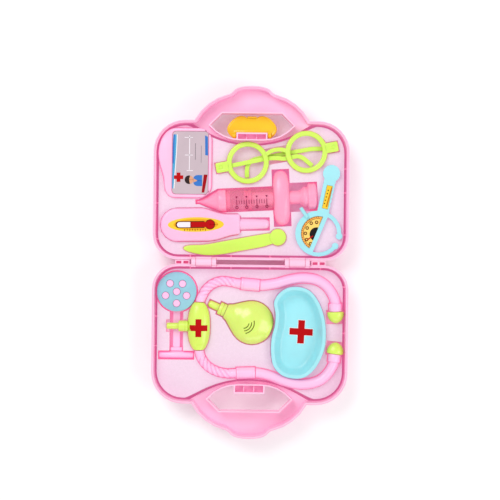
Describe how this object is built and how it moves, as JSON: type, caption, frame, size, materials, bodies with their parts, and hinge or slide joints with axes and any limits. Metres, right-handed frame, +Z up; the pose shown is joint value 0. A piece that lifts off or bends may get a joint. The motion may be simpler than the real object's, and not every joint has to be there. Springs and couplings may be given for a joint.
{
  "type": "toy doctor case",
  "caption": "Carry case lying open on its back: hinged tubs, a half handle on each, a turning clasp, and formed trays with toy doctor tools that lift out.",
  "frame": {"origin": "under the middle of the hinge line, on the surface that the open case lies on", "axes": "+Z up out of the open tubs, +Y from the base over the hinge to the lid, +X to the right of somebody who looks down with the lid at the top"},
  "size_m": [0.206, 0.3708, 0.0362],
  "materials": {
    "case_pink": "glossy moulded",
    "tray_pink": "glossy formed sheet",
    "latch_yellow": "glossy moulded",
    "badge_pink": "glossy moulded",
    "card_grey": "satin card",
    "lime": "glossy moulded",
    "syringe_pink": "glossy moulded",
    "clear_pink": "translucent moulded",
    "thermometer_pink": "glossy moulded",
    "label_yellow": "satin label",
    "aqua": "glossy moulded",
    "dial_orange": "satin label",
    "disc_blue": "glossy moulded",
    "tool_pink": "glossy moulded",
    "bulb_lime": "glossy moulded"
  },
  "bodies": {
    "case_base": {"base_shell": "case_pink", "base_tray": "tray_pink"},
    "case_lid": {"lid_shell": "case_pink", "lid_tray": "tray_pink"},
    "latch": {"latch": "latch_yellow"},
    "badge": {"badge_holder": "badge_pink", "badge_card": "card_grey"},
    "glasses": {"glasses_front": "lime"},
    "temple_left": {"temple_left": "lime"},
    "temple_right": {"temple_right": "lime"},
    "syringe": {"syringe_nose": "syringe_pink", "syringe_barrel": "clear_pink", "syringe_flange": "syringe_pink"},
    "plunger": {"syringe_plunger": "syringe_pink", "syringe_piston": "syringe_pink"},
    "thermometer": {"thermometer_front": "thermometer_pink", "thermometer_back": "thermometer_pink", "thermometer_probe": "thermometer_pink", "thermometer_label": "label_yellow"},
    "spatula": {"tongue_spatula": "lime"},
    "gauge": {"gauge_frame": "aqua", "gauge_dial": "dial_orange", "gauge_scale": "label_yellow"},
    "stethoscope": {"stethoscope_body": "lime", "stethoscope_nozzle": "lime", "twist_tube_upper": "tool_pink", "twist_tube_lower": "tool_pink", "tube_sleeve_upper": "tool_pink", "tube_sleeve_lower": "tool_pink", "ear_tube_upper": "tool_pink", "ear_tube_lower": "tool_pink", "ear_tip_upper": "lime", "ear_tip_lower": "lime"},
    "disc_tool": {"disc_tool_body": "tool_pink", "disc_tool_cap": "disc_blue", "disc_tool_crossbar": "tool_pink"},
    "bulb": {"bulb_body": "bulb_lime", "bulb_collar": "bulb_lime", "bulb_nozzle": "bulb_lime"},
    "dish": {"kidney_dish": "aqua"}
  },
  "joints": [
    {"name": "fold", "type": "hinge", "parent": "case_base", "child": "case_lid", "pos_m": [0, 0, 0.032], "axis": [-1, 0, 0], "range_deg": [-180, 0]},
    {"name": "latch_turn", "type": "hinge", "parent": "case_lid", "child": "latch", "pos_m": [0, 0.1331, 0.026], "axis": [-1, 0, 0], "range_deg": [-90, 0]},
    {"name": "badge_lift", "type": "slide", "parent": "case_lid", "child": "badge", "axis": [0, 0, 1], "range_m": [0, 0.12]},
    {"name": "glasses_lift", "type": "slide", "parent": "case_lid", "child": "glasses", "axis": [0, 0, 1], "range_m": [0, 0.17]},
    {"name": "temple_left_turn", "type": "hinge", "parent": "glasses", "child": "temple_left", "pos_m": [-0.03261, 0.09972, 0.01925], "axis": [-0.1903, 0.9817, 0], "range_deg": [0, 84]},
    {"name": "temple_right_turn", "type": "hinge", "parent": "glasses", "child": "temple_right", "pos_m": [0.08617, 0.12274, 0.01575], "axis": [0.1903, -0.9817, 0], "range_deg": [0, 95]},
    {"name": "syringe_lift", "type": "slide", "parent": "case_lid", "child": "syringe", "axis": [0, 0, 1], "range_m": [0, 0.12]},
    {"name": "plunger_slide", "type": "slide", "parent": "syringe", "child": "plunger", "axis": [0.9983, 0.0576, 0], "range_m": [-0.01, 0]},
    {"name": "thermometer_lift", "type": "slide", "parent": "case_lid", "child": "thermometer", "axis": [0, 0, 1], "range_m": [0, 0.12]},
    {"name": "spatula_lift", "type": "slide", "parent": "case_lid", "child": "spatula", "axis": [0, 0, 1], "range_m": [0, 0.12]},
    {"name": "gauge_lift", "type": "slide", "parent": "case_lid", "child": "gauge", "axis": [0, 0, 1], "range_m": [0, 0.12]},
    {"name": "stethoscope_lift", "type": "slide", "parent": "case_base", "child": "stethoscope", "axis": [0, 0, 1], "range_m": [0, 0.12]},
    {"name": "disc_tool_lift", "type": "slide", "parent": "case_base", "child": "disc_tool", "axis": [0, 0, 1], "range_m": [0, 0.072]},
    {"name": "bulb_lift", "type": "slide", "parent": "case_base", "child": "bulb", "axis": [0, 0, 1], "range_m": [0, 0.12]},
    {"name": "dish_lift", "type": "slide", "parent": "case_base", "child": "dish", "axis": [0, 0, 1], "range_m": [0, 0.12]}
  ],
  "couplings": [
    {"joint": "temple_left_turn", "follows": "glasses_lift", "rad_per_m": 8.6239},
    {"joint": "temple_right_turn", "follows": "glasses_lift", "rad_per_m": 9.7533},
    {"joint": "disc_tool_lift", "follows": "stethoscope_lift", "ratio": 0.6}
  ]
}
